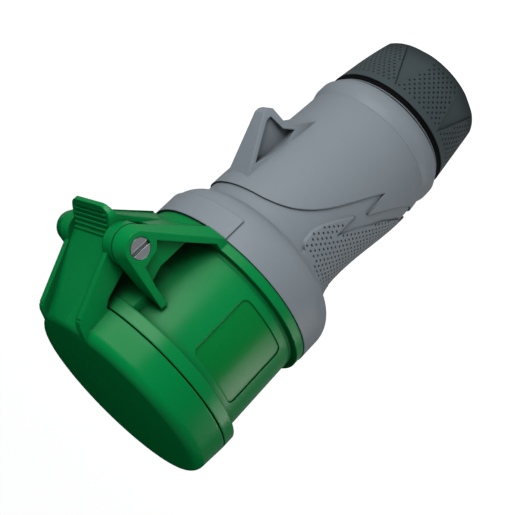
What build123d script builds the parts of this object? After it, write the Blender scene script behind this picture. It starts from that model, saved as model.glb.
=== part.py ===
from build123d import *
from math import atan2, cos, degrees, hypot, radians, sin, sqrt
import os

os.makedirs("parts", exist_ok=True)

# Pin and sleeve connector of the 32 A size, in millimetres.
# The axis of the connector is Z. It stands on the foot of its gland nut, at z = 0, and the
# lid is at the top. The hinge lies on the +Y side, with its pin along X.

# Clearances
fixed_gap = 0.2
turning_gap = 0.4
seat_gap = 0.1
pin_play = 0.05

# Cable and gland
cable_radius = 12.0
gland_hole_radius = 13.0
nut_height = 28.7
nut_wall = 3.2
nut_flare = 3.3
nut_foot_round = 2.0
nut_floor = 4.0
facet_count = 6
facet_turn = 57.5
facet_lean = 4.4
facet_near_spread = 13.0
facet_far_spread = 20.0
facet_tip_drop = 2.6
facet_tip_depth = 0.5
spigot_radius = 25.5
spigot_wall = 5.5
spigot_lift = 3.0
seal_height = 13.0
seal_drop = 5.3
clamp_slot_count = 8
clamp_slot_width = 2.0
clamp_slot_depth = 6.0
gland_ring_height = 2.0
gland_ring_width = 6.0
washer_height = 0.6
washer_width = 5.6
neck_height = 1.1
neck_width = 3.3

# Rear housing
wall = 3.0
tail_rim_width = 6.6
tail_chamfer = 1.6
tail_chamfer_height = 3.2
tail_band_height = 3.5
tail_flare_height = 4.2
tail_bore_step = 5.0
belly_height = 26.5
belly_radius = 32.6
flank_height = 44.5
flank_radius = 32.2
flank_rise = 1.9
waist_height = 62.5
waist_radius = 31.9
waist_rise = 3.6
body_length = 102.9
collar_radius = 42.8
collar_round = 12.0
collar_straight = 9.7
collar_wall = 4.1
collar_bore_depth = 14.2
fade_rise = 9.2
collar_root_radius = 33.0
collar_root_rise = 2.6
root_bore_step = 0.5
latch_pad_height = 10.8
latch_pad_relief = 0.6
latch_pad_spread = 38.5
skin = 0.8
grip_relief = 0.9
pull_slant = 35.0

# Hook on the back of the grip
hook_base_half = 7.6
hook_tip_half = 3.2
hook_reach = 14.2
hook_pocket_floor = 2.6

# Socket housing
flange_height = 4.2
flange_step = 0.3
barrel_step = 2.7
barrel_draft = 0.8
barrel_wall = 2.4
barrel_length = 40.4
lip_step = 3.8
lip_height = 5.4
ledge_rise = 2.8
ledge_height = 3.0
housing_spigot_wall = 3.8
seal_groove_depth = 1.6
seal_groove_height = 2.6
seal_groove_drop = 5.9
key_width = 8.0
key_depth = 1.4
label_depth = 0.5
label_spread = 22.0
label_margin_rear = 5.7
label_margin_front = 4.0
label_corner = 3.0
lug_count = 3
lug_height = 3.0
lug_depth = 1.7
lug_spread = 7.0
lug_turn = 26.0

# Hinge
hinge_rise = 16.1
hinge_height = 26.4
pin_radius = 2.5
pin_head_radius = 4.2
pin_head_height = 1.3
pin_slot_width = 1.1
pin_slot_depth = 0.7
clip_height = 0.8
ear_inner = 20.8
ear_outer = 27.6
ear_inner_boss = 8.2
ear_outer_boss = 6.4
ear_inner_foot_drop = 2.8
ear_outer_foot_drop = 8.0
strut_foot_drop = 8.0
strut_front = 6.8
strut_back = 3.6
web_edge = 13.2
web_recess = 3.6
pad_drop = 0.4
pad_half = 22.0
pad_length = 11.0

# Contacts
contact_margin = 10.9
contact_step = 72.0
contact_names = ["pe", "l1", "l2", "l3", "n"]
phase_pin_radius = 3.0
earth_pin_radius = 4.0
contact_play = 0.05
contact_wall = 1.75
contact_entry_play = 0.4
contact_collar = 1.2
contact_collar_height = 4.0
contact_slit = 0.8
contact_slit_length = 22.0
contact_depth = 40.0
ring_drop = 6.0
ring_height = 4.0
ring_depth = 0.45
terminal_extra = 0.4
terminal_length = 16.2
wire_hole_radius = 2.7
wire_hole_depth = 12.0
terminal_screw_radius = 2.0
terminal_screw_head = 2.9
terminal_screw_head_height = 2.0
terminal_screw_drop = 10.0
sleeve_space = 5.0
carrier_recess = 3.0
carrier_front_wall = 3.2
carrier_flange_height = 4.0
plate_height = 2.6
carrier_ring_height = 3.0
carrier_ring_width = 3.4

# Lid
lid_gap = 0.6
lid_height = 14.8
lid_draft = 0.7
lid_round = 4.6
lid_face = 3.2
lid_land = 1.2
gasket_inset = 0.2
gasket_width = 4.0
gasket_height = 3.4
gasket_squeeze = 0.15
arm_half = 17.0
arm_wall = 3.2
arm_rise = 2.1
arm_reach = 6.05
channel_depth = 3.2
channel_rise = 4.6
channel_floor = 2.0
knuckle_radius = 8.4
tab_half = 14.6
tab_reach = 15.5
tab_drop = 2.3
tab_thickness = 1.9
tab_corner = 5.0
tab_rib_count = 6
tab_rib_radius = 0.55
tab_rim = 1.6

# Torsion spring
wire_radius = 0.5
coil_radius = 3.2
coil_pitch = 1.45
coil_turns = 4
lid_leg = 12.0

# Radii that follow from the others
nut_rear_radius = spigot_radius + nut_wall
nut_front_radius = nut_rear_radius + nut_flare
spigot_bore_radius = spigot_radius - spigot_wall
gland_ring_radius = spigot_radius + gland_ring_width
washer_radius = spigot_radius + washer_width
neck_radius = spigot_radius + neck_width
tail_rim_radius = spigot_radius + tail_rim_width
tail_radius = tail_rim_radius + tail_chamfer
tail_bore_radius = spigot_bore_radius - tail_bore_step
collar_bore_radius = collar_radius - collar_wall
root_bore_radius = collar_root_radius + root_bore_step
housing_spigot_radius = collar_bore_radius - 1.5 * fixed_gap
housing_spigot_bore = housing_spigot_radius - housing_spigot_wall
flange_radius = collar_radius - flange_step
barrel_root_radius = flange_radius - barrel_step
barrel_top_radius = barrel_root_radius + barrel_draft
lip_radius = barrel_top_radius + lip_step
socket_bore_radius = barrel_root_radius - barrel_wall
carrier_radius = socket_bore_radius - sleeve_space
carrier_bore_radius = carrier_radius + 1.5 * fixed_gap
contact_circle = carrier_radius - contact_margin
lid_top_radius = lip_radius - lid_draft
lid_bore_radius = socket_bore_radius - lid_land
gasket_inner = socket_bore_radius - gasket_inset
gasket_outer = gasket_inner + gasket_width

# Stations along the axis
gland_ring_start = nut_height + fixed_gap
washer_start = gland_ring_start + gland_ring_height
neck_start = washer_start + washer_height
tail_start = neck_start + neck_height
grip_start = tail_start + tail_chamfer_height + tail_band_height + tail_flare_height
spigot_start = nut_floor + spigot_lift
seal_shoulder = tail_start - seal_drop
collar_front = tail_start + body_length
collar_shoulder = collar_front - collar_bore_depth
flange_start = collar_front + 1.5 * fixed_gap
barrel_start = flange_start + flange_height
lip_start = barrel_start + barrel_length
lip_front = lip_start + lip_height
ledge_start = flange_start + ledge_rise
lid_start = lip_front + lid_gap
lid_front = lid_start + lid_height
hinge_y = barrel_top_radius + hinge_rise
hinge_z = barrel_start + hinge_height


def revolved(*corners):
    """Solid of revolution about the axis, from corners given as radius and height."""
    with BuildPart() as turned:
        with BuildSketch(Plane.XZ):
            with BuildLine():
                Polyline(*corners, close=True)
            make_face()
        revolve(axis=Axis.Z)
    return turned.part


def ring_sector(inner, outer, middle, spread, start, height):
    """Part of a ring, spread degrees to each side of its middle angle."""
    with BuildPart() as sector:
        with BuildSketch(Plane.XY.offset(start)):
            with BuildLine():
                far = CenterArc((0, 0), outer, middle - spread, 2 * spread)
                near = CenterArc((0, 0), inner, middle - spread, 2 * spread)
                Line(far @ 0, near @ 0)
                Line(far @ 1, near @ 1)
            make_face()
        extrude(amount=height)
    return sector.part


def side_prism(corners, start, width):
    """Prism along X, from corners given as y and z."""
    with BuildPart() as prism:
        with BuildSketch(Plane.YZ.offset(start)):
            with BuildLine():
                Polyline(*corners, close=True)
            make_face()
        extrude(amount=width)
    return prism.part


def cross_bar(radius, start, width, y=hinge_y, z=hinge_z):
    """Round bar along X."""
    with BuildPart() as bar:
        with BuildSketch(Plane.YZ.offset(start)):
            with Locations((y, z)):
                Circle(radius)
        extrude(amount=width)
    return bar.part


def from_hinge(*offsets):
    """Points of the hinge side, from offsets outwards and upwards of the hinge pin."""
    return [(hinge_y + out, hinge_z + up) for out, up in offsets]


def on_grip(*points):
    """Points of the grip, from y and the height above the start of the tail."""
    return [(y, tail_start + height) for y, height in points]


# Gland nut: a cone with six flat facets, in pairs that lean towards each other. Each is cut
# from its tip near the ring down to the foot, and is bounded by a straight wall on its far side.
def on_nut(angle, height, depth=0.0):
    """Point on the nut's cone, or a depth inside it."""
    radius = nut_rear_radius + (nut_front_radius - nut_rear_radius) * height / nut_height - depth
    return Vector(radius * cos(radians(angle)), radius * sin(radians(angle)), height)


facet_tip = on_nut(facet_turn - facet_lean, nut_height - facet_tip_drop, facet_tip_depth)
facet_near = on_nut(facet_turn - facet_near_spread, 0)
facet_far = on_nut(facet_turn + facet_far_spread, 0)
facet_plane = Plane(
    origin=facet_tip,
    x_dir=facet_far - facet_tip,
    z_dir=(facet_far - facet_tip).cross(facet_near - facet_tip) * -1,
)
near_spot = facet_plane.to_local_coords(facet_near)
far_reach = 1.2 * (facet_far - facet_tip).length

with BuildPart() as facet:
    with BuildSketch(facet_plane):
        with BuildLine():
            Polyline((0, 0), (far_reach, 0), (1.2 * near_spot.X, 1.3 * near_spot.Y), close=True)
        make_face()
    extrude(amount=nut_front_radius / 2)
facet_pair = [facet.part, mirror(facet.part, about=Plane.XZ.rotated((0, 0, facet_turn - 30)))]

# The foot's rounded rim
with BuildPart() as foot_form:
    add(revolved((0, 0), (nut_rear_radius, 0), (nut_front_radius + 1.0, nut_height), (0, nut_height)))
    fillet(foot_form.edges().group_by(Axis.Z)[0], nut_foot_round)

with BuildPart() as gland_nut:
    add(
        revolved(
            (0, 0),
            (nut_rear_radius, 0),
            (nut_front_radius, nut_height),
            (0, nut_height),
        )
    )
    for leaning in facet_pair:
        with PolarLocations(0, facet_count // 2):
            add(leaning, mode=Mode.SUBTRACT)
    add(foot_form.part, mode=Mode.INTERSECT)
    with BuildSketch(Plane.XY):
        Circle(gland_hole_radius)
    extrude(amount=nut_floor, mode=Mode.SUBTRACT)
    with BuildSketch(Plane.XY.offset(nut_floor)):
        Circle(spigot_radius + turning_gap)
    extrude(amount=nut_height, mode=Mode.SUBTRACT)
gland_nut.part.label = "gland_nut"
export_step(gland_nut.part, "parts/gland_nut.step")

# Clamp ring: the nut pushes it up into the spigot, and its fingers close on the cable
clamp_start = nut_floor + seat_gap
seal_start = seal_shoulder - seal_height
clamp_radius = spigot_bore_radius - 1.5 * fixed_gap

with BuildPart() as clamp_ring:
    with BuildSketch(Plane.XY.offset(clamp_start)):
        Circle(clamp_radius)
        Circle(gland_hole_radius, mode=Mode.SUBTRACT)
    extrude(amount=seal_start - seat_gap - clamp_start)
    with BuildSketch(Plane.XY.offset(seal_start - seat_gap - clamp_slot_depth)):
        with PolarLocations(0, clamp_slot_count):
            Rectangle(2 * clamp_radius, clamp_slot_width, align=(Align.MIN, Align.CENTER))
    extrude(amount=clamp_slot_depth, mode=Mode.SUBTRACT)
clamp_ring.part.label = "clamp_ring"
export_step(clamp_ring.part, "parts/clamp_ring.step")

# Gland seal: a rubber sleeve, seated on the shoulder inside the spigot
with BuildPart() as gland_seal:
    with BuildSketch(Plane.XY.offset(seal_start)):
        Circle(spigot_bore_radius - fixed_gap)
        Circle(cable_radius, mode=Mode.SUBTRACT)
    extrude(amount=seal_height)
    chamfer(gland_seal.edges().group_by(Axis.Z)[0].sort_by(SortBy.RADIUS)[0], 1.5)
gland_seal.part.label = "gland_seal"
export_step(gland_seal.part, "parts/gland_seal.step")

# Black ring and thin washer between the nut and the body
with BuildPart() as gland_ring:
    with BuildSketch(Plane.XY.offset(gland_ring_start)):
        Circle(gland_ring_radius)
        Circle(spigot_radius + fixed_gap, mode=Mode.SUBTRACT)
    extrude(amount=gland_ring_height)
gland_ring.part.label = "gland_ring"
export_step(gland_ring.part, "parts/gland_ring.step")

with BuildPart() as thrust_washer:
    with BuildSketch(Plane.XY.offset(washer_start)):
        Circle(washer_radius)
        Circle(spigot_radius + fixed_gap, mode=Mode.SUBTRACT)
    extrude(amount=washer_height)
thrust_washer.part.label = "thrust_washer"
export_step(thrust_washer.part, "parts/thrust_washer.step")

# Rear housing: the grip is lofted through round sections that rise towards the hook side
belly_z = tail_start + belly_height
flank_z = tail_start + flank_height
waist_z = tail_start + waist_height
root_z = collar_shoulder - 4.0
grip_sections = [
    (grip_start, belly_radius - 0.8, 0.0),
    (belly_z, belly_radius, 0.0),
    (flank_z, flank_radius, flank_rise),
    (waist_z, waist_radius, waist_rise),
    (root_z, collar_root_radius, collar_root_rise),
]


def grip_form(margin):
    """The grip's lofted form, grown by a margin."""
    with BuildPart() as form:
        for height, radius, rise in grip_sections:
            with BuildSketch(Plane.XY.offset(height)):
                with Locations((0, rise)):
                    Circle(radius + margin)
        loft()
    return form.part


# Two slides of the mould pull the flanks, slanting downwards. The flank plane faces one of them.
pull_plane = Plane(
    origin=(0, 0, 0),
    x_dir=(sin(radians(pull_slant)), cos(radians(pull_slant)), 0),
    z_dir=(cos(radians(pull_slant)), -sin(radians(pull_slant)), 0),
)


def grip_size(z):
    """Radius and rise of the grip at a height."""
    for (low, radius, rise), (high, next_radius, next_rise) in zip(grip_sections, grip_sections[1:]):
        share = (z - low) / (high - low)
        if share <= 1:
            break
    return radius + share * (next_radius - radius), rise + share * (next_rise - rise)


def on_flank(*points):
    """Points of the flank as its slide sees them, from y and the height above the start of the tail."""
    seen = []
    for y, z in on_grip(*points):
        radius, rise = grip_size(z)
        x = sqrt(radius**2 - (y - rise) ** 2)
        seen.append((x * sin(radians(pull_slant)) + y * cos(radians(pull_slant)), z))
    return seen


# Upper skin: its edge runs down each flank to a point and turns back like a bolt of lightning
skin_edge = on_grip((31.2, 75.8), (22.6, 71.0), (14.9, 62.2), (5.9, 45.6), (-0.9, 32.7))
skin_top = on_grip((42.0, 77.4))[0]
skin_turn = on_grip((-2.2, 45.0))[0]
skin_bolt = on_flank((-2.2, 45.0), (-5.5, 39.4), (-9.5, 32.7), (-14.9, 25.4), (-19.1, 20.5), (-31.0, 13.0))
skin_side = on_flank((1.0, 11.0))[0]
with BuildPart() as skin_reach:
    with BuildSketch(Plane.YZ):
        with BuildLine():
            edge = Spline(*skin_edge)
            Polyline(edge @ 1, skin_turn, (skin_turn[0], grip_start), (skin_top[0], grip_start))
            Polyline((skin_top[0], grip_start), skin_top, edge @ 0)
        make_face()
    extrude(amount=collar_radius, both=True)
    with BuildSketch(pull_plane):
        with BuildLine():
            Polyline(
                skin_side,
                *skin_bolt,
                (-collar_radius, skin_bolt[-1][1]),
                (-collar_radius, grip_start),
                (skin_side[0], grip_start),
                close=True,
            )
        make_face()
    extrude(amount=collar_radius)
    mirror(about=Plane.YZ)
with BuildPart() as upper_skin:
    add(grip_form(skin))
    add(skin_reach.part, mode=Mode.INTERSECT)

# Grip pad round the waist, with the same kind of edge; it ends in the collar's flare
pad_edge_points = on_flank(
    (8.1, 78.8), (9.8, 77.8), (10.9, 74.6), (11.0, 71.0), (9.6, 65.6), (6.4, 58.8), (1.7, 50.4)
)
pad_bolt = on_flank((1.7, 63.0), (-4.5, 51.6), (-12.7, 37.4), (-20.8, 27.7), (-31.0, 20.5))
pad_end = on_flank((7.0, 84.0))[0]
with BuildPart() as pad_reach:
    with BuildSketch(pull_plane):
        with BuildLine():
            pad_edge = Spline(*pad_edge_points)
            Polyline(
                pad_edge @ 1,
                *pad_bolt,
                (-collar_radius, pad_bolt[-1][1]),
                (-collar_radius, pad_end[1]),
                pad_end,
                pad_edge @ 0,
            )
        make_face()
    extrude(amount=collar_radius)
    mirror(about=Plane.YZ)
with BuildPart() as grip_pad:
    add(grip_form(grip_relief))
    add(pad_reach.part, mode=Mode.INTERSECT)

# Hook: a wedge with an undercut, open pockets in both sides and a tail on the grip
grip_back = waist_radius + waist_rise + skin
hook_tip = grip_back + hook_reach
hook_outline = on_grip(
    (grip_back - 8.2, 75.2),
    (grip_back - 1.0, 72.2),
    (hook_tip - 1.5, 49.7),
    (hook_tip, 47.3),
    (hook_tip, 45.1),
    (hook_tip - 1.2, 42.9),
    (grip_back + 5.4, 42.3),
    (grip_back + 2.4, 40.1),
    (grip_back - 5.2, 27.2),
    (grip_back - 10.2, 27.2),
)
pocket_outline = on_grip(
    (grip_back + 1.4, 64.4),
    (hook_tip - 3.2, 48.3),
    (hook_tip - 3.2, 45.9),
    (grip_back + 3.8, 44.7),
    (grip_back + 0.2, 40.7),
    (grip_back - 2.2, 48.7),
)

with BuildPart() as hook:
    add(side_prism(hook_outline, -hook_base_half, 2 * hook_base_half))
    with BuildSketch(Plane.XY.offset(grip_start)):
        with BuildLine():
            Polyline(
                (-hook_base_half, grip_back - 12.0),
                (-hook_base_half, grip_back - 2.2),
                (-hook_tip_half, hook_tip),
                (hook_tip_half, hook_tip),
                (hook_base_half, grip_back - 2.2),
                (hook_base_half, grip_back - 12.0),
                close=True,
            )
        make_face()
    extrude(amount=body_length, mode=Mode.INTERSECT)
    add(side_prism(pocket_outline, hook_pocket_floor, hook_base_half), mode=Mode.SUBTRACT)
    add(
        side_prism(pocket_outline, -hook_pocket_floor - hook_base_half, hook_base_half),
        mode=Mode.SUBTRACT,
    )

tail_solid = revolved(
    (0, spigot_start),
    (spigot_radius, spigot_start),
    (spigot_radius, neck_start),
    (neck_radius, neck_start),
    (neck_radius, tail_start),
    (tail_rim_radius, tail_start),
    (tail_radius, tail_start + tail_chamfer_height),
    (tail_radius, grip_start - tail_flare_height),
    (belly_radius - 0.2, grip_start),
    (0, grip_start),
)
rounding_start = collar_front - collar_straight
round_centre = collar_radius - collar_round
fade_end = (belly_radius - 2.2, waist_z + fade_rise)
with BuildPart() as collar_solid:
    with BuildSketch(Plane.XZ):
        with BuildLine():
            Polyline((0, rounding_start), (0, collar_front), (collar_radius, collar_front))
            Line((collar_radius, collar_front), (collar_radius, rounding_start))
            bend = CenterArc((round_centre, rounding_start), collar_round, 0, -72)
            fade = ThreePointArc(bend @ 1, (fade_end[0] + 1.2, fade_end[1] + 5.0), fade_end)
            Polyline(fade @ 1, (0, fade_end[1]), (0, rounding_start))
        make_face()
    revolve(axis=Axis.Z)

chamber = grip_form(-wall)
chamber_floor = revolved(
    (0, tail_start + wall),
    (tail_bore_radius, tail_start + wall),
    (belly_radius - 0.8 - wall, grip_start),
    (0, grip_start),
)
gland_bore = revolved(
    (0, spigot_start),
    (spigot_bore_radius, spigot_start),
    (spigot_bore_radius, seal_shoulder),
    (tail_bore_radius, seal_shoulder),
    (tail_bore_radius, tail_start + wall),
    (0, tail_start + wall),
)
collar_bore = revolved(
    (0, root_z),
    (root_bore_radius, root_z),
    (root_bore_radius, collar_shoulder),
    (collar_bore_radius, collar_shoulder),
    (collar_bore_radius, collar_front),
    (0, collar_front),
)
lug_start = collar_shoulder + seat_gap + 3 * fixed_gap
lug_top = lug_start + lug_height
slot_radius = housing_spigot_radius + lug_depth + 1.5 * fixed_gap

with BuildPart() as rear_housing:
    add(tail_solid)
    add(grip_form(0))
    add(collar_solid.part)
    add(upper_skin.part)
    add(grip_pad.part)
    add(hook.part)
    add(
        ring_sector(
            collar_radius - 1.0,
            collar_radius + latch_pad_relief,
            90,
            latch_pad_spread,
            collar_front - latch_pad_height,
            latch_pad_height,
        )
    )
    add(chamber, mode=Mode.SUBTRACT)
    add(chamber_floor, mode=Mode.SUBTRACT)
    add(gland_bore, mode=Mode.SUBTRACT)
    add(collar_bore, mode=Mode.SUBTRACT)
    for turn in range(lug_count):
        lug_angle = 30 + turn * 360 / lug_count
        add(
            ring_sector(
                collar_bore_radius - 1.0,
                slot_radius,
                lug_angle - lug_turn,
                lug_spread + 1.0,
                collar_shoulder,
                collar_bore_depth,
            ),
            mode=Mode.SUBTRACT,
        )
        add(
            ring_sector(
                collar_bore_radius - 1.0,
                slot_radius,
                lug_angle - lug_turn / 2,
                lug_turn / 2 + lug_spread + 1.0,
                collar_shoulder,
                lug_top + fixed_gap - collar_shoulder,
            ),
            mode=Mode.SUBTRACT,
        )
rear_housing.part.label = "rear_housing"
export_step(rear_housing.part, "parts/rear_housing.step")

# O-ring between the two housings
groove_top = flange_start - seal_groove_drop
groove_radius = housing_spigot_radius - seal_groove_depth
seal_section = (collar_bore_radius - groove_radius) / 2 - 0.02

with BuildPart() as housing_seal:
    with BuildSketch(Plane.XZ):
        with Locations((groove_radius + seal_section, groove_top - seal_groove_height / 2)):
            Circle(seal_section)
    revolve(axis=Axis.Z)
housing_seal.part.label = "housing_seal"
export_step(housing_seal.part, "parts/housing_seal.step")


def tangent_point(boss, foot, side):
    """Where the line from a foot touches a boss round the hinge, as y and z."""
    dy, dz = foot[0] - hinge_y, foot[1] - hinge_z
    reach = hypot(dy, dz)
    angle = atan2(dz, dy) + side * (radians(90) - atan2(boss, sqrt(reach**2 - boss**2)))
    return (hinge_y + boss * cos(angle), hinge_z + boss * sin(angle))


def ear_outline(x, boss, foot):
    """Outline of a hinge ear: arm from the flange, round boss, strut to the barrel."""
    arm_foot = (foot, flange_start)
    strut_foot = (barrel_root_radius - strut_foot_drop, hinge_z + strut_front)
    arm_touch = tangent_point(boss, arm_foot, 1)
    strut_touch = tangent_point(boss, strut_foot, -1)
    with BuildSketch(Plane.YZ.offset(x)) as outline:
        with BuildLine():
            Polyline(strut_foot, (strut_foot[0], flange_start), arm_foot, arm_touch)
            ThreePointArc(arm_touch, (hinge_y + boss, hinge_z), strut_touch)
            Line(strut_touch, strut_foot)
        make_face()
    return outline.sketch


inner_outline = ear_outline(ear_inner, ear_inner_boss, flange_radius - ear_inner_foot_drop)
outer_outline = ear_outline(ear_outer, ear_outer_boss, flange_radius - ear_outer_foot_drop)

# The window under the web runs through, and the web itself is set back from the face
web_bottom, web_top, strut_root = from_hinge(
    (-web_edge, -18.1), (-web_edge, -3.7), (-web_edge - 2.9, strut_back)
)
window = [
    (hinge_y - 2.4 * web_edge, barrel_start),
    (hinge_y - 21.3, barrel_start),
    web_bottom,
    web_top,
    strut_root,
    (hinge_y - 2.4 * web_edge, hinge_z + strut_back),
]
recess = [
    web_bottom,
    *from_hinge((-2.1, -7.1), (-5.1, -5.1), (-7.3, strut_back - 1.0)),
    strut_root,
    web_top,
]

with BuildPart() as ear:
    add(loft([inner_outline.face(), outer_outline.face()], ruled=True, mode=Mode.PRIVATE))
    add(side_prism(window, ear_inner - 1, ear_outer), mode=Mode.SUBTRACT)
    add(side_prism(recess, ear_outer - web_recess, ear_outer), mode=Mode.SUBTRACT)

# Socket housing: the flange and spigot are turned; ears and lugs are added
ledge_top = ledge_start + ledge_height
draft_share = (ledge_top - barrel_start) / barrel_length
barrel_foot_radius = barrel_root_radius + draft_share * barrel_draft
flange_form = revolved(
    (housing_spigot_bore, collar_shoulder + seat_gap + fixed_gap),
    (housing_spigot_radius, collar_shoulder + seat_gap + fixed_gap),
    (housing_spigot_radius, groove_top - seal_groove_height),
    (groove_radius, groove_top - seal_groove_height),
    (groove_radius, groove_top),
    (housing_spigot_radius, groove_top),
    (housing_spigot_radius, flange_start),
    (flange_radius, flange_start),
    (flange_radius, barrel_start),
    (barrel_root_radius, barrel_start),
    (barrel_foot_radius, ledge_top),
    (carrier_bore_radius, ledge_top),
    (carrier_bore_radius, ledge_start),
    (housing_spigot_bore, ledge_start),
)
barrel_form = revolved(
    (0, ledge_top),
    (barrel_foot_radius, ledge_top),
    (barrel_top_radius, lip_start),
    (lip_radius, lip_start),
    (lip_radius, lip_front),
    (0, lip_front),
)
socket_space = revolved(
    (0, ledge_top),
    (socket_bore_radius, ledge_top),
    (socket_bore_radius, lip_front),
    (0, lip_front),
)
label_length = barrel_length - label_margin_rear - label_margin_front
label_core = revolved(
    (0, barrel_start),
    (barrel_root_radius - label_depth, barrel_start),
    (barrel_top_radius - label_depth, lip_start),
    (0, lip_start),
)
with BuildPart() as label_recess:
    with BuildSketch(Plane.YZ):
        with Locations((0, barrel_start + label_margin_rear + label_length / 2)):
            RectangleRounded(
                2 * barrel_root_radius * sin(radians(label_spread)), label_length, label_corner
            )
    extrude(amount=lip_radius)
    add(label_core, mode=Mode.SUBTRACT)

with BuildPart() as hinge_pad:
    with BuildSketch(Plane.XY.offset(lip_start - pad_length)):
        Circle(lip_radius - pad_drop)
        with Locations((0, lip_radius)):
            Rectangle(2 * pad_half, 2 * lip_radius, mode=Mode.INTERSECT)
    extrude(amount=pad_length)

with BuildPart() as socket_barrel:
    add(barrel_form)
    add(hinge_pad.part)
    add(socket_space, mode=Mode.SUBTRACT)
    with BuildSketch(Plane.XY.offset(ledge_top)):
        with Locations((0, -socket_bore_radius)):
            Rectangle(key_width, 2 * key_depth)
    extrude(amount=lip_front, mode=Mode.SUBTRACT)
    add(label_recess.part, mode=Mode.SUBTRACT)
socket_barrel.part.label = "socket_barrel"
export_step(socket_barrel.part, "parts/socket_barrel.step")

with BuildPart() as socket_housing:
    add(ear.part)
    add(mirror(ear.part, about=Plane.YZ, mode=Mode.PRIVATE))
    add(barrel_form, mode=Mode.SUBTRACT)
    add(hinge_pad.part, mode=Mode.SUBTRACT)
    add(flange_form)
    add(cross_bar(pin_radius + pin_play, -ear_outer, 2 * ear_outer), mode=Mode.SUBTRACT)
    add(
        cross_bar(pin_head_radius + fixed_gap, ear_outer - pin_head_height, ear_outer),
        mode=Mode.SUBTRACT,
    )
    add(
        cross_bar(pin_head_radius + fixed_gap, -2 * ear_outer, ear_outer + pin_head_height),
        mode=Mode.SUBTRACT,
    )
    for turn in range(lug_count):
        lug_angle = 30 + turn * 360 / lug_count
        add(
            ring_sector(
                housing_spigot_radius - 1.0,
                housing_spigot_radius + lug_depth,
                lug_angle,
                lug_spread,
                lug_start,
                lug_height,
            )
        )
socket_housing.part.label = "socket_housing"
export_step(socket_housing.part, "parts/socket_housing.step")

# Hinge pin with a slotted head, and the ring pushed on its plain end
with BuildPart() as hinge_pin:
    add(cross_bar(pin_radius, -ear_outer, 2 * ear_outer - pin_head_height))
    add(cross_bar(pin_head_radius, ear_outer - pin_head_height, pin_head_height))
    with BuildSketch(Plane.YZ.offset(ear_outer)):
        with Locations((hinge_y, hinge_z)):
            Rectangle(pin_slot_width, 3 * pin_head_radius)
    extrude(amount=-pin_slot_depth, mode=Mode.SUBTRACT)
hinge_pin.part.label = "hinge_pin"
export_step(hinge_pin.part, "parts/hinge_pin.step")

with BuildPart() as hinge_clip:
    add(cross_bar(pin_head_radius, pin_head_height - clip_height - ear_outer, clip_height))
    add(cross_bar(pin_radius, -ear_outer, ear_outer), mode=Mode.SUBTRACT)
hinge_clip.part.label = "hinge_clip"
export_step(hinge_clip.part, "parts/hinge_clip.step")

# Contact carrier: five stepped holes on a circle, the earth contact at the keyway
carrier_front = lip_front - carrier_recess
carrier_start = ledge_start - carrier_flange_height
contact_front = carrier_front - carrier_front_wall - fixed_gap
contact_list = []
for index, name in enumerate(contact_names):
    pin = earth_pin_radius if name == "pe" else phase_pin_radius
    angle = -90 + index * contact_step
    contact_list.append((name, pin, angle))


def at_contact(angle, height):
    """Plane across the axis of a contact, its x axis pointing away from the connector's axis."""
    spot = (contact_circle * cos(radians(angle)), contact_circle * sin(radians(angle)), height)
    return Plane(origin=spot, x_dir=(cos(radians(angle)), sin(radians(angle)), 0), z_dir=(0, 0, 1))


with BuildPart() as contact_carrier:
    with BuildSketch(Plane.XY.offset(carrier_start)):
        Circle(carrier_radius)
    extrude(amount=carrier_front - carrier_start)
    with BuildSketch(Plane.XY.offset(carrier_start)):
        Circle(housing_spigot_bore - fixed_gap)
    extrude(amount=carrier_flange_height)
    for name, pin, angle in contact_list:
        sleeve = pin + contact_wall
        with BuildSketch(at_contact(angle, carrier_front)):
            Circle(pin + contact_entry_play)
        extrude(amount=-carrier_front_wall, mode=Mode.SUBTRACT)
        with BuildSketch(at_contact(angle, carrier_front - carrier_front_wall)):
            Circle(sleeve + fixed_gap)
        extrude(amount=carrier_start - carrier_front, mode=Mode.SUBTRACT)
        with BuildSketch(at_contact(angle, carrier_start)):
            Circle(sleeve + contact_collar + fixed_gap)
        extrude(amount=contact_collar_height, mode=Mode.SUBTRACT)
contact_carrier.part.label = "contact_carrier"
export_step(contact_carrier.part, "parts/contact_carrier.step")

# Plate that keeps the contacts in the carrier, and the ring that keeps both in the housing
plate_start = carrier_start - plate_height
with BuildPart() as contact_plate:
    with BuildSketch(Plane.XY.offset(plate_start)):
        Circle(housing_spigot_bore - fixed_gap)
    extrude(amount=plate_height)
    for name, pin, angle in contact_list:
        with BuildSketch(at_contact(angle, plate_start)):
            Circle(pin + contact_wall + terminal_extra + fixed_gap)
        extrude(amount=plate_height, mode=Mode.SUBTRACT)
contact_plate.part.label = "contact_plate"
export_step(contact_plate.part, "parts/contact_plate.step")

with BuildPart() as carrier_ring:
    with BuildSketch(Plane.XY.offset(plate_start - carrier_ring_height)):
        Circle(housing_spigot_bore - fixed_gap)
        Circle(housing_spigot_bore - fixed_gap - carrier_ring_width, mode=Mode.SUBTRACT)
    extrude(amount=carrier_ring_height)
carrier_ring.part.label = "carrier_ring"
export_step(carrier_ring.part, "parts/carrier_ring.step")

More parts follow.
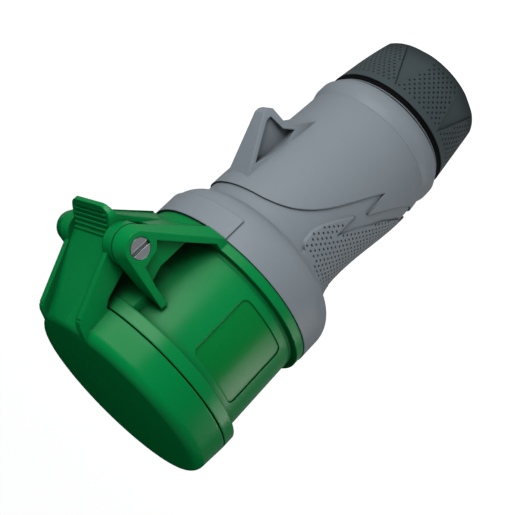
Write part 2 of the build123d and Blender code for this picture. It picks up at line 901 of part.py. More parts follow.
# Contacts: a slit sleeve with a collar, and a terminal with a wire hole and a clamping screw
screw_height = carrier_start - terminal_screw_drop
for name, pin, angle in contact_list:
    sleeve = pin + contact_wall
    terminal = sleeve + terminal_extra
    bore = pin + contact_play
    with BuildPart() as contact:
        with BuildSketch(at_contact(angle, carrier_start)):
            Circle(sleeve)
        extrude(amount=contact_front - carrier_start)
        with BuildSketch(at_contact(angle, carrier_start)):
            Circle(sleeve + contact_collar)
        extrude(amount=contact_collar_height)
        with BuildSketch(at_contact(angle, carrier_start)):
            Circle(terminal)
        extrude(amount=-terminal_length)
        with BuildSketch(at_contact(angle, contact_front)):
            Circle(bore)
        extrude(amount=-contact_depth, mode=Mode.SUBTRACT)
        with BuildSketch(at_contact(angle, contact_front)):
            Rectangle(3 * sleeve, contact_slit)
            Rectangle(contact_slit, 3 * sleeve)
        extrude(amount=-contact_slit_length, mode=Mode.SUBTRACT)
        with BuildSketch(at_contact(angle, contact_front - ring_drop)):
            Circle(sleeve + 1)
            Circle(sleeve - ring_depth, mode=Mode.SUBTRACT)
        extrude(amount=-ring_height, mode=Mode.SUBTRACT)
        with BuildSketch(at_contact(angle, carrier_start - terminal_length)):
            Circle(wire_hole_radius)
        extrude(amount=wire_hole_depth, mode=Mode.SUBTRACT)
        screw_axis = Plane(
            origin=at_contact(angle, screw_height).origin,
            z_dir=(cos(radians(angle)), sin(radians(angle)), 0),
        )
        with BuildSketch(screw_axis):
            Circle(terminal_screw_radius)
        extrude(amount=2 * terminal, mode=Mode.SUBTRACT)
    contact.part.label = "contact_" + name
    export_step(contact.part, "parts/contact_" + name + ".step")

    with BuildPart() as contact_ring:
        with BuildSketch(at_contact(angle, contact_front - ring_drop - seat_gap)):
            Circle(sleeve)
            Circle(sleeve - ring_depth, mode=Mode.SUBTRACT)
            with Locations((sleeve, 0)):
                Rectangle(2 * sleeve, contact_slit, mode=Mode.SUBTRACT)
        extrude(amount=2 * seat_gap - ring_height)
    contact_ring.part.label = "contact_ring_" + name
    export_step(contact_ring.part, "parts/contact_ring_" + name + ".step")

    with BuildPart() as terminal_screw:
        with BuildSketch(screw_axis.offset(wire_hole_radius - 1.0)):
            Circle(terminal_screw_radius - seat_gap / 2)
        extrude(amount=terminal - wire_hole_radius + 2.0)
        with BuildSketch(screw_axis.offset(terminal + 1.0)):
            Circle(terminal_screw_head)
        extrude(amount=terminal_screw_head_height)
        with BuildSketch(screw_axis.offset(terminal + 1.0 + terminal_screw_head_height)):
            Rectangle(3 * terminal_screw_head, pin_slot_width)
        extrude(amount=-pin_slot_depth, mode=Mode.SUBTRACT)
    terminal_screw.part.label = "terminal_screw_" + name
    export_step(terminal_screw.part, "parts/terminal_screw_" + name + ".step")

# Lid: a turned cap with a rounded rim, and a channel arm that ends in the thumb tab
with BuildPart() as cap:
    with BuildSketch(Plane.XZ):
        with BuildLine():
            side = Line((lip_radius, lid_start), (lid_top_radius, lid_front - lid_round))
            rim = CenterArc((lid_top_radius - lid_round, lid_front - lid_round), lid_round, 0, 90)
            Polyline(rim @ 1, (0, lid_front), (0, lid_front - lid_face))
            Polyline(
                (0, lid_front - lid_face),
                (lid_bore_radius, lid_front - lid_face),
                (lid_bore_radius, lid_start),
                (gasket_inner, lid_start),
                (gasket_inner, lid_start + gasket_height),
                (gasket_outer, lid_start + gasket_height),
                (gasket_outer, lid_start),
                side @ 0,
            )
        make_face()
    revolve(axis=Axis.Z)

with BuildPart() as lid_gasket:
    with BuildSketch(Plane.XY.offset(lip_front + gasket_squeeze)):
        Circle(gasket_outer - seat_gap)
        Circle(gasket_inner + seat_gap, mode=Mode.SUBTRACT)
    extrude(amount=lid_start + gasket_height - lip_front - gasket_squeeze)
lid_gasket.part.label = "lid_gasket"
export_step(lid_gasket.part, "parts/lid_gasket.step")

# The arm's outer line passes the hinge at arm_reach
arm_start_y = lip_radius + arm_rise
arm_start_z = lid_front - lid_round + 1.2
start_y, start_z = arm_start_y - hinge_y, arm_start_z - hinge_z
arm_span = hypot(start_y, start_z)
arm_normal = atan2(start_z, start_y) - radians(90) + atan2(arm_reach, sqrt(arm_span**2 - arm_reach**2))
arm_touch = (hinge_y + arm_reach * cos(arm_normal), hinge_z + arm_reach * sin(arm_normal))
floor_start = (
    arm_start_y - channel_depth * cos(arm_normal),
    arm_start_z - channel_depth * sin(arm_normal),
)
floor_y, floor_z = floor_start[0] - hinge_y, floor_start[1] - hinge_z
floor_span = hypot(floor_y, floor_z)
floor_normal = (
    atan2(floor_z, floor_y) - radians(90) + atan2(arm_reach, sqrt(floor_span**2 - arm_reach**2))
)
floor_touch = (hinge_y + arm_reach * cos(floor_normal), hinge_z + arm_reach * sin(floor_normal))
floor_inner = arm_reach - channel_floor
floor_back = (hinge_y + floor_inner * cos(floor_normal), hinge_z + floor_inner * sin(floor_normal))
floor_root = (
    floor_start[0] - channel_rise * sin(floor_normal),
    floor_start[1] + channel_rise * cos(floor_normal),
)
floor_back_root = (
    floor_root[0] - channel_floor * cos(floor_normal),
    floor_root[1] - channel_floor * sin(floor_normal),
)
wall_outline = [
    (lid_top_radius - 3.2, arm_start_z),
    (arm_start_y, arm_start_z),
    arm_touch,
    *from_hinge((7.2, -3.0), (5.7, -6.2), (-4.2, -7.1), (-7.1, 5.9), (-11.9, 17.9), (-14.3, 20.7)),
    (lid_top_radius - 3.2, lid_start + 0.2),
]

tab_tip, tab_middle = from_hinge((tab_reach, -tab_drop), (8.5, 0.4))
with BuildPart() as tab:
    with BuildSketch(Plane.YZ):
        with BuildLine():
            tab_face = ThreePointArc(floor_touch, tab_middle, tab_tip)
            Polyline(
                tab_face @ 1,
                (tab_tip[0], tab_tip[1] - tab_thickness),
                *from_hinge((9.8, -4.5), (6.6, -6.5)),
                floor_back,
                floor_touch,
            )
        make_face()
    extrude(amount=tab_half, both=True)
    with BuildSketch(Plane.XY.offset(hinge_z)):
        with Locations((0, tab_tip[0] - tab_half)):
            RectangleRounded(2 * tab_half, 2 * tab_half, tab_corner)
    extrude(amount=2 * tab_half, both=True, mode=Mode.INTERSECT)

with BuildPart() as tab_ribs:
    for rib in range(tab_rib_count):
        spot = tab_face @ ((rib + 0.3) / (tab_rib_count + 0.1))
        add(cross_bar(tab_rib_radius, -tab_half, 2 * tab_half, spot.X, spot.Y))
    with BuildSketch(Plane.XY.offset(hinge_z)):
        with Locations((0, tab_tip[0] - tab_half)):
            RectangleRounded(
                2 * (tab_half - tab_rim), 2 * (tab_half - tab_rim), tab_corner - tab_rim
            )
    extrude(amount=2 * tab_half, both=True, mode=Mode.INTERSECT)

with BuildPart() as lid:
    add(cap.part)
    for start in (-arm_half, arm_half - arm_wall):
        add(side_prism(wall_outline, start, arm_wall))
    knuckle_width = ear_inner - turning_gap - arm_half + arm_wall
    for start in (turning_gap - ear_inner, arm_half - arm_wall):
        add(cross_bar(knuckle_radius, start, knuckle_width))
    add(
        side_prism(
            [floor_root, floor_touch, floor_back, floor_back_root],
            -arm_half,
            2 * arm_half,
        )
    )
    add(tab.part)
    add(tab_ribs.part)
    add(cross_bar(pin_radius + pin_play, -ear_outer, 2 * ear_outer), mode=Mode.SUBTRACT)
lid.part.label = "lid"
export_step(lid.part, "parts/lid.step")

# Torsion spring: one leg lies under the arm's floor, the other stands on the barrel
start_angle = degrees(floor_normal)
coil_sweep = start_angle + 90 + 360 * coil_turns
coil_length = coil_pitch * coil_sweep / 360
coil_frame = Plane(
    origin=(-coil_length / 2, hinge_y, hinge_z),
    x_dir=(0, cos(floor_normal), sin(floor_normal)),
    z_dir=(1, 0, 0),
)
coil = coil_frame * Helix(coil_pitch, coil_length, coil_radius, lefthand=True)
barrel_leg = hinge_y - barrel_top_radius - fixed_gap
with BuildLine() as spring_path:
    add(coil)
    Line((coil @ 0) - lid_leg * (coil % 0), coil @ 0)
    Line(coil @ 1, (coil @ 1) + barrel_leg * (coil % 1))
with BuildPart() as lid_spring:
    with BuildSketch(Plane(origin=spring_path.line @ 0, z_dir=spring_path.line % 0)):
        Circle(wire_radius)
    sweep(path=spring_path.line)
lid_spring.part.label = "lid_spring"
export_step(lid_spring.part, "parts/lid_spring.step")
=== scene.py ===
import math

import bmesh
import bpy
from mathutils import Matrix, Vector
from mathutils.bvhtree import BVHTree


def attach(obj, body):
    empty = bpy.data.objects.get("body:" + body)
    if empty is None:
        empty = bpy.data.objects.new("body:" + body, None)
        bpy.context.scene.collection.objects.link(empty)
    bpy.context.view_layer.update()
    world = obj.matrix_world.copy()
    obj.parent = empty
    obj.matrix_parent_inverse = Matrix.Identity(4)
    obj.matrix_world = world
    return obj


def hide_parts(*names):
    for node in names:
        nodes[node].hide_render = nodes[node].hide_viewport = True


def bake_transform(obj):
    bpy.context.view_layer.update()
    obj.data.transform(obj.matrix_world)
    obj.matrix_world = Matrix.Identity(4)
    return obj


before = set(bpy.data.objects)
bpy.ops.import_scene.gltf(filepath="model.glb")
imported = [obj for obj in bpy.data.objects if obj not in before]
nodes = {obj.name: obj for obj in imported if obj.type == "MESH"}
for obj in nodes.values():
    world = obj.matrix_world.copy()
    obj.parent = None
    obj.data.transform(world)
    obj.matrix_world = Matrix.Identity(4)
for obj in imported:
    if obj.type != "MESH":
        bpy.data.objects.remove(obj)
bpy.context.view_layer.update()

# Camera: above the hinge side and rolled on its own axis, so that the connector lies across the
# picture from lower left to upper right, as in the photograph.
camera_place = Vector((0.368356, 0.239205, 0.282781))
camera_right = Vector((0.595590, -0.455902, -0.661382))
camera_up = Vector((-0.174868, 0.730013, -0.660683))
camera_back = Vector((0.784024, 0.509151, 0.355066))
picture_pixels, focal_pixels, sensor_width = 515.0, 1097.506, 36.0
camera_data = bpy.data.cameras.new("camera")
camera_data.sensor_width = sensor_width
camera_data.lens = focal_pixels * sensor_width / picture_pixels
camera_data.clip_start = 0.05
camera_data.clip_end = 40.0
camera = bpy.data.objects.new("camera", camera_data)
camera_turn = Matrix((camera_right, camera_up, camera_back)).transposed()
camera.matrix_world = Matrix.Translation(camera_place) @ camera_turn.to_4x4()
bpy.context.scene.collection.objects.link(camera)
bpy.context.scene.camera = camera


# Studio: a pale floor that the nut stands on and pale surroundings, both white to the camera. Only
# a small share of them shows in glossy reflections, so that the green stays deep.
def new_material(name):
    """Empty node material; gives the material, its nodes, a link maker and the output."""
    made = bpy.data.materials.new(name)
    made.use_nodes = True
    tree = made.node_tree
    tree.nodes.clear()
    return made, tree.nodes, tree.links.new, tree.nodes.new("ShaderNodeOutputMaterial")


def white_to_camera(tree_nodes, link, glossy_share=0.08):
    """One for camera and transmission rays, a small share for glossy rays, nought for the rest."""
    path = tree_nodes.new("ShaderNodeLightPath")
    dimmed = tree_nodes.new("ShaderNodeMath")
    dimmed.operation = "MULTIPLY"
    dimmed.inputs[1].default_value = glossy_share
    first = tree_nodes.new("ShaderNodeMath")
    first.operation = "MAXIMUM"
    second = tree_nodes.new("ShaderNodeMath")
    second.operation = "MAXIMUM"
    link(path.outputs["Is Glossy Ray"], dimmed.inputs[0])
    link(path.outputs["Is Camera Ray"], first.inputs[0])
    link(dimmed.outputs[0], first.inputs[1])
    link(first.outputs[0], second.inputs[0])
    link(path.outputs["Is Transmission Ray"], second.inputs[1])
    return second.outputs[0]


def pale_surroundings():
    """World that lights faintly and bluish, and is white where it is seen."""
    world = bpy.data.worlds.new("studio")
    bpy.context.scene.world = world
    world.use_nodes = True
    add, link = world.node_tree.nodes, world.node_tree.links.new
    add.clear()
    ambient = add.new("ShaderNodeBackground")
    ambient.inputs["Color"].default_value = (0.86, 0.93, 1.0, 1.0)
    ambient.inputs["Strength"].default_value = 0.07
    backdrop = add.new("ShaderNodeBackground")
    backdrop.inputs["Color"].default_value = (1.0, 1.0, 1.0, 1.0)
    backdrop.inputs["Strength"].default_value = 1.0
    mix = add.new("ShaderNodeMixShader")
    out = add.new("ShaderNodeOutputWorld")
    link(white_to_camera(add, link), mix.inputs["Fac"])
    link(ambient.outputs[0], mix.inputs[1])
    link(backdrop.outputs[0], mix.inputs[2])
    link(mix.outputs[0], out.inputs["Surface"])


def flat_sheet(name, corners, material):
    """Four-cornered sheet of the studio."""
    mesh = bpy.data.meshes.new(name)
    mesh.from_pydata(corners, [], [(0, 1, 2, 3)])
    mesh.materials.append(material)
    made = bpy.data.objects.new(name, mesh)
    bpy.context.scene.collection.objects.link(made)
    return made


def pale_floor(seen_brightness=0.95):
    """Matt floor paint that keeps shadows, with a glow that only the camera sees."""
    made, add, link, out = new_material("pale floor")
    paint = add.new("ShaderNodeBsdfDiffuse")
    paint.inputs["Color"].default_value = (0.55, 0.55, 0.55, 1.0)
    glow = add.new("ShaderNodeEmission")
    glow.inputs["Color"].default_value = (1.0, 1.0, 1.0, 1.0)
    level = add.new("ShaderNodeMath")
    level.operation = "MULTIPLY"
    level.inputs[1].default_value = seen_brightness
    both = add.new("ShaderNodeAddShader")
    link(white_to_camera(add, link), level.inputs[0])
    link(level.outputs[0], glow.inputs["Strength"])
    link(paint.outputs[0], both.inputs[0])
    link(glow.outputs[0], both.inputs[1])
    link(both.outputs[0], out.inputs["Surface"])
    return made


pale_surroundings()
floor_half = 6.0
floor_corners = [
    (-floor_half, -floor_half, 0.0),
    (floor_half, -floor_half, 0.0),
    (floor_half, floor_half, 0.0),
    (-floor_half, floor_half, 0.0),
]
floor = flat_sheet("floor", floor_corners, pale_floor())


# Lights: a low, wide one on the hinge side draws the long highlight down the lid and barrel, and a
# fainter, warmer one stands round to the far side. Two more only fill, and don't show in the gloss.
def soft_light(name, azimuth, elevation, distance, aim, width, height, power, colour=(1.0, 1.0, 1.0)):
    """Rectangular lamp seen from its aim at an azimuth from +X towards +Y, in degrees."""
    data = bpy.data.lights.new(name, "AREA")
    data.shape = "RECTANGLE"
    data.size = width
    data.size_y = height
    data.energy = power
    data.color = colour
    lamp = bpy.data.objects.new(name, data)
    turn, rise = math.radians(azimuth), math.radians(elevation)
    away = Vector((math.cos(turn) * math.cos(rise), math.sin(turn) * math.cos(rise), math.sin(rise)))
    lamp.location = Vector(aim) + away * distance
    lamp.rotation_mode = "QUATERNION"
    lamp.rotation_quaternion = away.to_track_quat("Z", "Y")
    bpy.context.scene.collection.objects.link(lamp)
    return lamp


soft_light(
    "key light",
    azimuth=68.0, elevation=0.0, distance=0.46, aim=(0.0, 0.0, 0.078), width=0.46, height=0.12, power=1.85,
)
soft_light(
    "far light",
    azimuth=-58.0, elevation=0.0, distance=0.42, aim=(0.0, 0.0, 0.058), width=0.26, height=0.10, power=0.50,
    colour=(1.0, 0.97, 0.94),
)
fill = soft_light(
    "fill light",
    azimuth=20.0, elevation=17.0, distance=1.1, aim=(0.0, 0.0, 0.10), width=0.5, height=0.18, power=2.4,
)
top = soft_light(
    "top light",
    azimuth=33.0, elevation=76.0, distance=1.2, aim=(0.0, 0.0, 0.10), width=0.5, height=0.5, power=2.0,
)
for lamp in (fill, top):
    lamp.visible_glossy = False

# Black card: stands behind the connector and is seen by reflections only. It keeps the lid's face
# and the far edges deep, as in the photograph.
card_material, card_nodes, card_link, card_out = new_material("black card")
card_paint = card_nodes.new("ShaderNodeBsdfDiffuse")
card_paint.inputs["Color"].default_value = (0.0, 0.0, 0.0, 1.0)
card_link(card_paint.outputs[0], card_out.inputs["Surface"])
card_middle = Vector((-0.90, -0.58, 0.5))
card_side = Vector((-0.54, 0.84, 0.0)) * 1.6
card_rise = Vector((0.0, 0.0, 0.9))
card_corners = [
    card_middle - card_side - card_rise,
    card_middle + card_side - card_rise,
    card_middle + card_side + card_rise,
    card_middle - card_side + card_rise,
]
card = flat_sheet("black card", card_corners, card_material)
card.visible_camera = False
card.visible_diffuse = False
card.visible_transmission = False
card.visible_shadow = False


# Socket housing: the green front moulding with the flange and the hinge bracket, injected in
# glass-filled polyamide. Its satin skin comes from the spark-eroded mould: a fine grain, slightly
# uneven in tone and gloss.
def moulded_grain():
    """Group: grain of a moulded skin. Puts out a tone near one, a height and a roughness."""
    group = bpy.data.node_groups.new("moulded grain", "ShaderNodeTree")
    face = group.interface
    for label, start in (
        ("Grain per metre", 2600.0),
        ("Cloud per metre", 34.0),
        ("Tone spread", 0.05),
        ("Roughness", 0.4),
        ("Roughness spread", 0.05),
    ):
        face.new_socket(name=label, in_out="INPUT", socket_type="NodeSocketFloat").default_value = start
    for label in ("Tone", "Height", "Gloss"):
        face.new_socket(name=label, in_out="OUTPUT", socket_type="NodeSocketFloat")
    add, link = group.nodes.new, group.links.new
    given, out = add("NodeGroupInput"), add("NodeGroupOutput")
    place = add("ShaderNodeTexCoord")
    grain = add("ShaderNodeTexNoise")
    grain.inputs["Detail"].default_value = 3.0
    cloud = add("ShaderNodeTexNoise")
    cloud.inputs["Detail"].default_value = 4.0
    link(place.outputs["Object"], grain.inputs["Vector"])
    link(place.outputs["Object"], cloud.inputs["Vector"])
    link(given.outputs["Grain per metre"], grain.inputs["Scale"])
    link(given.outputs["Cloud per metre"], cloud.inputs["Scale"])
    centred = add("ShaderNodeMath")
    centred.operation = "SUBTRACT"
    centred.inputs[1].default_value = 0.5
    link(cloud.outputs["Fac"], centred.inputs[0])
    tone = add("ShaderNodeMath")
    tone.operation = "MULTIPLY_ADD"
    tone.inputs[2].default_value = 1.0
    link(centred.outputs[0], tone.inputs[0])
    link(given.outputs["Tone spread"], tone.inputs[1])
    gloss = add("ShaderNodeMath")
    gloss.operation = "MULTIPLY_ADD"
    link(centred.outputs[0], gloss.inputs[0])
    link(given.outputs["Roughness spread"], gloss.inputs[1])
    link(given.outputs["Roughness"], gloss.inputs[2])
    link(tone.outputs[0], out.inputs["Tone"])
    link(grain.outputs["Fac"], out.inputs["Height"])
    link(gloss.outputs[0], out.inputs["Gloss"])
    return group


def rounded_edges_and_painted_shade():
    """Group: a normal that rounds sharp edges, and a mask of painted shade: one in the open, low in
    creases.
    """
    group = bpy.data.node_groups.new("moulded edges", "ShaderNodeTree")
    face = group.interface
    for label, start in (("Edge radius", 0.0009), ("Crease reach", 0.012), ("Crease tone", 0.06)):
        face.new_socket(name=label, in_out="INPUT", socket_type="NodeSocketFloat").default_value = start
    face.new_socket(name="Normal", in_out="OUTPUT", socket_type="NodeSocketVector")
    face.new_socket(name="Open", in_out="OUTPUT", socket_type="NodeSocketFloat")
    add, link = group.nodes.new, group.links.new
    given, out = add("NodeGroupInput"), add("NodeGroupOutput")
    rounded = add("ShaderNodeBevel")
    rounded.samples = 6
    shelter = add("ShaderNodeAmbientOcclusion")
    shelter.samples = 8
    link(given.outputs["Edge radius"], rounded.inputs["Radius"])
    link(given.outputs["Crease reach"], shelter.inputs["Distance"])
    link(rounded.outputs["Normal"], out.inputs["Normal"])
    # Painted shade: occlusion in creases becomes a mask that darkens the base colour, down to a given tone.
    depth = add("ShaderNodeMapRange")
    depth.inputs["From Min"].default_value = 0.25
    depth.inputs["From Max"].default_value = 0.90
    link(given.outputs["Crease tone"], depth.inputs["To Min"])
    link(shelter.outputs["AO"], depth.inputs["Value"])
    link(depth.outputs["Result"], out.inputs["Open"])
    return group


grain_group = moulded_grain()
edge_and_shade_group = rounded_edges_and_painted_shade()


def moulded(
    name,
    colour,
    roughness,
    bump,
    specular,
    tone_spread=0.06,
    grain=2600.0,
    painted_crease_shade=0.06,
    crease_reach=0.012,
    crease_roughness=0.85,
):
    """Material of a moulded piece: grained, and duller in its creases, where painted shade darkens it."""
    made, add, link, out = new_material(name)
    skin = add.new("ShaderNodeGroup")
    skin.node_tree = grain_group
    skin.inputs["Grain per metre"].default_value = grain
    skin.inputs["Tone spread"].default_value = tone_spread
    skin.inputs["Roughness"].default_value = roughness
    edges = add.new("ShaderNodeGroup")
    edges.node_tree = edge_and_shade_group
    edges.inputs["Crease tone"].default_value = painted_crease_shade
    edges.inputs["Crease reach"].default_value = crease_reach
    shader = add.new("ShaderNodeBsdfPrincipled")
    shader.inputs["Specular IOR Level"].default_value = specular
    # Painted shade: the crease mask darkens the grained base colour in creases.
    shade = add.new("ShaderNodeMath")
    shade.operation = "MULTIPLY"
    link(edges.outputs["Open"], shade.inputs[0])
    link(skin.outputs["Tone"], shade.inputs[1])
    tint = add.new("ShaderNodeMix")
    tint.name = "tint"
    tint.data_type = "RGBA"
    tint.blend_type = "MULTIPLY"
    tint.inputs["Factor"].default_value = 1.0
    tint.inputs["A"].default_value = (*colour, 1.0)
    link(shade.outputs[0], tint.inputs["B"])
    link(tint.outputs["Result"], shader.inputs["Base Color"])
    dull = add.new("ShaderNodeMix")
    dull.inputs["A"].default_value = crease_roughness
    link(edges.outputs["Open"], dull.inputs["Factor"])
    link(skin.outputs["Gloss"], dull.inputs["B"])
    link(dull.outputs["Result"], shader.inputs["Roughness"])
    relief = add.new("ShaderNodeBump")
    relief.inputs["Strength"].default_value = bump
    relief.inputs["Distance"].default_value = 0.0001
    link(edges.outputs["Normal"], relief.inputs["Normal"])
    link(skin.outputs["Height"], relief.inputs["Height"])
    link(relief.outputs["Normal"], shader.inputs["Normal"])
    link(shader.outputs[0], out.inputs["Surface"])
    return made


green_tint = (0.0005, 0.205, 0.047)


def green_polyamide(name):
    """Material of the green mouldings, under a name of its own."""
    # Its painted shade reaches 20 mm, so that the pocket between the bracket's arms turns dark.
    return moulded(name, green_tint, roughness=0.25, bump=0.18, specular=0.12, crease_reach=0.020)


green = green_polyamide("green polyamide")


# Hinge bracket: moulded in one with the socket housing. A saddle ties its two arms together at the
# flange and leaves a pocket between them that narrows to a point.
def welded(mesh):
    """Gives a mesh joined corners and outward faces, and drops the normals stored with it."""
    if "custom_normal" in mesh.attributes:
        mesh.attributes.remove(mesh.attributes["custom_normal"])
    work = bmesh.new()
    work.from_mesh(mesh)
    bmesh.ops.remove_doubles(work, verts=work.verts, dist=1e-6)
    bmesh.ops.recalc_face_normals(work, faces=work.faces)
    work.to_mesh(mesh)
    work.free()
    return mesh


def slab(name, one_face, other_face):
    """Closed mesh between two flat faces that have like corners in like order."""
    count = len(one_face)
    ends = [tuple(range(count)), tuple(range(count, 2 * count))]
    sides = [(i, (i + 1) % count, (i + 1) % count + count, i + count) for i in range(count)]
    mesh = bpy.data.meshes.new(name)
    mesh.from_pydata([*one_face, *other_face], [], ends + sides)
    return welded(mesh)


def crisp(mesh, corner_degrees):
    """Shades a mesh smooth, apart from its corners."""
    mesh.shade_smooth()
    mesh.set_sharp_from_angle(angle=math.radians(corner_degrees))
    return mesh


def combined(mesh, operation, *others):
    """Mesh joined with or cut by others, with its corners kept sharp."""
    piece = bpy.data.objects.new(mesh.name, mesh)
    bpy.context.scene.collection.objects.link(piece)
    tools = []
    for other in others:
        tool = bpy.data.objects.new(other.name, other)
        bpy.context.scene.collection.objects.link(tool)
        step = piece.modifiers.new(other.name, "BOOLEAN")
        step.operation = operation
        step.solver = "MANIFOLD"
        step.object = tool
        tools.append(tool)
    graph = bpy.context.evaluated_depsgraph_get()
    result = bpy.data.meshes.new_from_object(piece.evaluated_get(graph), depsgraph=graph)
    for made in (*tools, piece):
        bpy.data.objects.remove(made)
    return crisp(result, 28.0)


def placed(name, mesh, body, material, replaced):
    """Object of a finished mesh, that rides on a body and stands for a CAD node."""
    piece = bpy.data.objects.new(name, mesh)
    bpy.context.scene.collection.objects.link(piece)
    mesh.materials.clear()
    mesh.materials.append(material)
    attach(piece, body)
    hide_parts(replaced)
    return piece


arm_foot = Vector((0.0, 0.0388, 0.1358))
arm_along = Vector((0.0, 0.683, 0.730))
arm_outwards = Vector((0.0, 0.730, -0.683))
saddle_thickness, saddle_sink = 0.0026, 0.00005
saddle_half, saddle_start, saddle_end = 0.0209, 0.0003, 0.0258
pocket_half, pocket_tip = 0.0120, 0.0082
saddle_plan = [
    (-saddle_half, saddle_start),
    (saddle_half, saddle_start),
    (saddle_half, saddle_end),
    (pocket_half, saddle_end),
    (0.0, pocket_tip),
    (-pocket_half, saddle_end),
    (-saddle_half, saddle_end),
]


def saddle_face(sunk):
    """Corners of the saddle's plan, sunk below the arms' outer faces."""
    return [
        arm_foot + arm_along * along - arm_outwards * sunk + Vector((across, 0.0, 0.0))
        for across, along in saddle_plan
    ]


saddle = slab("saddle", saddle_face(saddle_sink), saddle_face(saddle_thickness))
housing_mesh = combined(welded(nodes["socket_housing"].data.copy()), "UNION", saddle)
placed("housing_moulding", housing_mesh, "housing", green, "socket_housing")


# Barrel: the sleeve of the same green moulding, drafted a little so that it leaves the mould. The
# shallow field for a rating label is polished on the real part; here it is only tinted a little
# deeper and yellower.
def dress(material, *names):
    """Gives a material to CAD nodes."""
    for name in names:
        mesh = nodes[name].data
        mesh.materials.clear()
        mesh.materials.append(material)


def label_field_green(field_tint, field_depth, root_radius, start, length, draft):
    """Green whose tint changes where the skin lies in the label's field, sunk below the barrel."""
    made = green_polyamide("green polyamide with a field")
    add, link = made.node_tree.nodes.new, made.node_tree.links.new
    taper_rate = draft / length
    place = add("ShaderNodeTexCoord")
    apart = add("ShaderNodeSeparateXYZ")
    flat = add("ShaderNodeCombineXYZ")
    reach = add("ShaderNodeVectorMath")
    reach.operation = "LENGTH"
    undrafted = add("ShaderNodeMath")
    undrafted.operation = "MULTIPLY_ADD"
    undrafted.inputs[1].default_value = -taper_rate
    in_field = add("ShaderNodeMath")
    in_field.operation = "COMPARE"
    in_field.inputs[1].default_value = root_radius - field_depth - start * taper_rate
    in_field.inputs[2].default_value = field_depth / 2
    tints = add("ShaderNodeMix")
    tints.data_type = "RGBA"
    tints.inputs["A"].default_value = (*green_tint, 1.0)
    tints.inputs["B"].default_value = (*field_tint, 1.0)
    link(place.outputs["Object"], apart.inputs[0])
    link(apart.outputs["X"], flat.inputs["X"])
    link(apart.outputs["Y"], flat.inputs["Y"])
    link(flat.outputs[0], reach.inputs[0])
    link(apart.outputs["Z"], undrafted.inputs[0])
    link(reach.outputs["Value"], undrafted.inputs[2])
    link(undrafted.outputs[0], in_field.inputs[0])
    link(in_field.outputs[0], tints.inputs["Factor"])
    link(tints.outputs["Result"], made.node_tree.nodes["tint"].inputs["A"])
    return made


barrel_green = label_field_green(
    field_tint=(0.0005, 0.180, 0.032),
    field_depth=0.0005,
    root_radius=0.0398,
    start=0.140,
    length=0.0404,
    draft=0.0008,
)
dress(barrel_green, "socket_barrel")


# Lid: the same green polyamide, moulded as a cap with a channel arm to the hinge and a ribbed thumb
# tab. The channel's floor and walls run out over the cap's rounded rim, down to the edge of its face.
def bar_across(name, outline, start, end):
    """Closed mesh of an outline in y and z, drawn out along X."""
    return slab(name, [(start, y, z) for y, z in outline], [(end, y, z) for y, z in outline])


def turned(name, profile, steps):
    """Closed mesh of a radius and z profile, turned about the axis; its ends lie on the axis."""
    work = bmesh.new()
    points = [work.verts.new((radius, 0.0, height)) for radius, height in profile]
    edges = [work.edges.new(pair) for pair in zip(points, points[1:])]
    bmesh.ops.spin(
        work, geom=points + edges, cent=(0, 0, 0), axis=(0, 0, 1), angle=2 * math.pi, steps=steps
    )
    mesh = bpy.data.meshes.new(name)
    work.to_mesh(mesh)
    work.free()
    return welded(mesh)


# Under the first bend the turned form is wide, so that the floor runs on down to the arm
rim_radius, rim_round, face_height = 0.0447, 0.0046, 0.20118
skirt_radius, skirt_height = 0.0515, 0.186
rim_profile = [(0.0, skirt_height), (skirt_radius, skirt_height)]
for degrees in range(30, 91, 10):
    bend = math.radians(degrees)
    out_by = rim_radius - rim_round * (1.0 - math.cos(bend))
    up_to = face_height - rim_round * (1.0 - math.sin(bend))
    rim_profile.append((out_by, up_to))
rim_profile.append((0.0, face_height))

floor_half_width = 0.0139
floor_outline = [(0.0500, 0.1868), (0.0432, 0.2002), (0.0400, 0.2020), (0.0380, 0.1900)]
channel_floor = bar_across("ramp", floor_outline, -floor_half_width, floor_half_width)
channel_floor = combined(channel_floor, "INTERSECT", turned("rim", rim_profile, 96))

wall_thickness = 0.00313
wall_outline = [
    (0.0464, 0.1970),
    (0.0458, 0.1986),
    (0.0440, 0.1997),
    (0.0380, 0.2010),
    (0.0360, 0.1960),
]
wall_ends = [
    bar_across(side + " wall end", wall_outline, start, start + wall_thickness)
    for side, start in (("near", 0.01385), ("far", -0.01698))
]
lid_mesh = combined(welded(nodes["lid"].data.copy()), "UNION", channel_floor, *wall_ends)
placed("lid_moulding", lid_mesh, "lid", green, "lid")

# Lid gasket, housing seal, gland ring and gland seal: soft black rubber, moulded and pressed into
# their seats. The rubber is matt and a little cloudy.
rubber = moulded(
    "black rubber",
    (0.0025, 0.0025, 0.003),
    roughness=0.60,
    bump=0.20,
    specular=0.05,
    tone_spread=0.2,
    grain=1800.0,
)
dress(rubber, "lid_gasket", "gland_ring", "gland_seal", "housing_seal")


